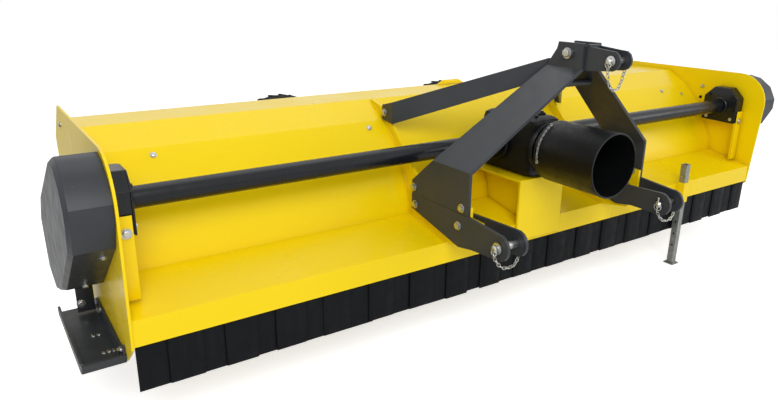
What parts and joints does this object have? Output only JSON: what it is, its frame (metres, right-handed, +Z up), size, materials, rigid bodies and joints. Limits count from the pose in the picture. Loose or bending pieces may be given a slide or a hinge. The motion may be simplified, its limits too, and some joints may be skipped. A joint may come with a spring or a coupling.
{
  "type": "hammer knife mower",
  "caption": "Tractor-mounted hammer knife mower with a folded hood, belt-driven hammer rotor, shaft shield, three-point mast, rubber curtain, skids and rear roller.",
  "frame": {"origin": "on the ground, at the centre of the machine's box seen from above", "axes": "+X along the working width, towards the parking stand's side; +Y from the tractor side to the rear; +Z up"},
  "size_m": [3.448, 1.478, 1.13],
  "materials": {
    "yellow_paint": "gloss enamel",
    "charcoal_paint": "satin enamel",
    "black_paint": "satin enamel",
    "rubber": "matt",
    "tyre": "matt",
    "black_plastic": "satin moulded",
    "zinc_steel": "zinc plated",
    "bare_steel": "bare, oiled"
  },
  "bodies": {
    "frame": {"hood": "yellow_paint", "gearbox_mount": "yellow_paint", "side_plate_left": "yellow_paint", "side_plate_right": "yellow_paint", "wheel_pivot_1": "charcoal_paint", "wheel_pivot_2": "charcoal_paint", "mast_arm_left": "charcoal_paint", "mast_arm_right": "charcoal_paint", "back_stay_left": "charcoal_paint", "back_stay_right": "charcoal_paint", "hitch_plate_outer_left": "charcoal_paint", "hitch_plate_outer_right": "charcoal_paint", "hitch_plate_inner_left": "charcoal_paint", "hitch_plate_inner_right": "charcoal_paint", "belt_guard_left": "charcoal_paint", "belt_guard_right": "charcoal_paint", "skid_left": "charcoal_paint", "skid_right": "charcoal_paint", "gearbox_housing": "black_paint", "shaft_tube_left": "black_paint", "shaft_tube_right": "black_paint", "shaft_bearing_left": "black_paint", "shaft_bearing_right": "black_paint", "rotor_bearing_left": "black_paint", "rotor_bearing_right": "black_paint", "drive_belt_left": "rubber", "drive_belt_right": "rubber", "pto_shield": "black_plastic", "head_bolt": "zinc_steel", "flap_rod": "bare_steel"},
    "rotor": {"rotor": "bare_steel", "rotor_pulley_left": "bare_steel", "rotor_pulley_right": "bare_steel"},
    "input_shaft": {"input_shaft": "bare_steel"},
    "cross_shaft_left": {"cross_shaft_left": "bare_steel"},
    "cross_shaft_right": {"cross_shaft_right": "bare_steel"},
    "top_link_bracket": {"top_link_bracket": "charcoal_paint"},
    "top_link_pin": {"top_link_pin": "zinc_steel"},
    "hitch_pin_left": {"hitch_pin_left": "zinc_steel"},
    "hitch_pin_right": {"hitch_pin_right": "zinc_steel"},
    "curtain_left": {"curtain_left": "rubber"},
    "curtain_right": {"curtain_right": "rubber"},
    "rear_roller": {"rear_roller": "charcoal_paint"},
    "parking_stand": {"parking_stand": "zinc_steel"},
    "wheel_arm_1": {"wheel_arm_1": "charcoal_paint"},
    "wheel_arm_2": {"wheel_arm_2": "charcoal_paint"},
    "transport_wheel_1": {"transport_wheel_1": "tyre"},
    "transport_wheel_2": {"transport_wheel_2": "tyre"},
    "hammer_01": {"hammer_01": "bare_steel"},
    "hammer_02": {"hammer_02": "bare_steel"},
    "hammer_03": {"hammer_03": "bare_steel"},
    "hammer_04": {"hammer_04": "bare_steel"},
    "hammer_05": {"hammer_05": "bare_steel"},
    "hammer_06": {"hammer_06": "bare_steel"},
    "hammer_07": {"hammer_07": "bare_steel"},
    "hammer_08": {"hammer_08": "bare_steel"},
    "hammer_09": {"hammer_09": "bare_steel"},
    "hammer_10": {"hammer_10": "bare_steel"},
    "hammer_11": {"hammer_11": "bare_steel"},
    "hammer_12": {"hammer_12": "bare_steel"}
  },
  "joints": [
    {"name": "rotor_spin", "type": "hinge", "parent": "frame", "child": "rotor", "pos_m": [0, 0.074, 0.45], "axis": [1, 0, 0], "continuous": true},
    {"name": "cross_shaft_spin_left", "type": "hinge", "parent": "frame", "child": "cross_shaft_left", "pos_m": [-0.8, -0.221, 0.717], "axis": [1, 0, 0], "continuous": true},
    {"name": "cross_shaft_spin_right", "type": "hinge", "parent": "frame", "child": "cross_shaft_right", "pos_m": [0.8, -0.221, 0.717], "axis": [1, 0, 0], "continuous": true},
    {"name": "input_spin", "type": "hinge", "parent": "frame", "child": "input_shaft", "pos_m": [0, -0.501, 0.717], "axis": [0, 1, 0], "continuous": true},
    {"name": "top_link_swing", "type": "hinge", "parent": "frame", "child": "top_link_bracket", "pos_m": [0, -0.531, 1.094], "axis": [-1, 0, 0], "range_deg": [0, 40]},
    {"name": "top_link_pin_pull", "type": "slide", "parent": "top_link_bracket", "child": "top_link_pin", "axis": [-1, 0, 0], "range_m": [0, 0.12]},
    {"name": "hitch_pin_pull_left", "type": "slide", "parent": "frame", "child": "hitch_pin_left", "axis": [-1, 0, 0], "range_m": [0, 0.16]},
    {"name": "curtain_swing_left", "type": "hinge", "parent": "frame", "child": "curtain_left", "pos_m": [-0.8, -0.3885, 0.385], "axis": [1, 0, 0], "range_deg": [-3, 60]},
    {"name": "hitch_pin_pull_right", "type": "slide", "parent": "frame", "child": "hitch_pin_right", "axis": [1, 0, 0], "range_m": [0, 0.16]},
    {"name": "curtain_swing_right", "type": "hinge", "parent": "frame", "child": "curtain_right", "pos_m": [0.8, -0.3885, 0.385], "axis": [1, 0, 0], "range_deg": [-3, 60]},
    {"name": "roller_spin", "type": "hinge", "parent": "frame", "child": "rear_roller", "pos_m": [0, 0.464, 0.08427], "axis": [1, 0, 0], "continuous": true},
    {"name": "stand_slide", "type": "slide", "parent": "frame", "child": "parking_stand", "axis": [0, 0, 1], "range_m": [0, 0.24]},
    {"name": "wheel_arm_swing_1", "type": "hinge", "parent": "frame", "child": "wheel_arm_1", "pos_m": [-0.33, 0.499, 0.562], "axis": [0, -1, 0], "range_deg": [0, 65]},
    {"name": "wheel_arm_swing_2", "type": "hinge", "parent": "frame", "child": "wheel_arm_2", "pos_m": [0.03, 0.499, 0.562], "axis": [0, 1, 0], "range_deg": [0, 65]},
    {"name": "wheel_spin_1", "type": "hinge", "parent": "wheel_arm_1", "child": "transport_wheel_1", "pos_m": [-0.63, 0.664, 0.562], "axis": [0, 1, 0], "continuous": true},
    {"name": "wheel_spin_2", "type": "hinge", "parent": "wheel_arm_2", "child": "transport_wheel_2", "pos_m": [0.33, 0.664, 0.562], "axis": [0, 1, 0], "continuous": true},
    {"name": "hammer_swing_01", "type": "hinge", "parent": "rotor", "child": "hammer_01", "pos_m": [-1.375, 0.15885, 0.36515], "axis": [1, 0, 0], "range_deg": [-91, 181]},
    {"name": "hammer_swing_02", "type": "hinge", "parent": "rotor", "child": "hammer_02", "pos_m": [-1.125, -0.01085, 0.53485], "axis": [1, 0, 0], "range_deg": [-271, 1]},
    {"name": "hammer_swing_03", "type": "hinge", "parent": "rotor", "child": "hammer_03", "pos_m": [-0.875, 0.15885, 0.53485], "axis": [1, 0, 0], "range_deg": [-1, 271]},
    {"name": "hammer_swing_04", "type": "hinge", "parent": "rotor", "child": "hammer_04", "pos_m": [-0.625, -0.01085, 0.36515], "axis": [1, 0, 0], "range_deg": [-181, 91]},
    {"name": "hammer_swing_05", "type": "hinge", "parent": "rotor", "child": "hammer_05", "pos_m": [-0.375, 0.15885, 0.36515], "axis": [1, 0, 0], "range_deg": [-91, 181]},
    {"name": "hammer_swing_06", "type": "hinge", "parent": "rotor", "child": "hammer_06", "pos_m": [-0.125, -0.01085, 0.53485], "axis": [1, 0, 0], "range_deg": [-271, 1]},
    {"name": "hammer_swing_07", "type": "hinge", "parent": "rotor", "child": "hammer_07", "pos_m": [0.125, 0.15885, 0.53485], "axis": [1, 0, 0], "range_deg": [-1, 271]},
    {"name": "hammer_swing_08", "type": "hinge", "parent": "rotor", "child": "hammer_08", "pos_m": [0.375, -0.01085, 0.36515], "axis": [1, 0, 0], "range_deg": [-181, 91]},
    {"name": "hammer_swing_09", "type": "hinge", "parent": "rotor", "child": "hammer_09", "pos_m": [0.625, 0.15885, 0.36515], "axis": [1, 0, 0], "range_deg": [-91, 181]},
    {"name": "hammer_swing_10", "type": "hinge", "parent": "rotor", "child": "hammer_10", "pos_m": [0.875, -0.01085, 0.53485], "axis": [1, 0, 0], "range_deg": [-271, 1]},
    {"name": "hammer_swing_11", "type": "hinge", "parent": "rotor", "child": "hammer_11", "pos_m": [1.125, 0.15885, 0.53485], "axis": [1, 0, 0], "range_deg": [-1, 271]},
    {"name": "hammer_swing_12", "type": "hinge", "parent": "rotor", "child": "hammer_12", "pos_m": [1.375, -0.01085, 0.36515], "axis": [1, 0, 0], "range_deg": [-181, 91]}
  ],
  "couplings": [
    {"joint": "cross_shaft_spin_left", "follows": "rotor_spin", "ratio": 0.6964},
    {"joint": "cross_shaft_spin_right", "follows": "rotor_spin", "ratio": 0.6964},
    {"joint": "input_spin", "follows": "rotor_spin", "ratio": 0.2321}
  ]
}
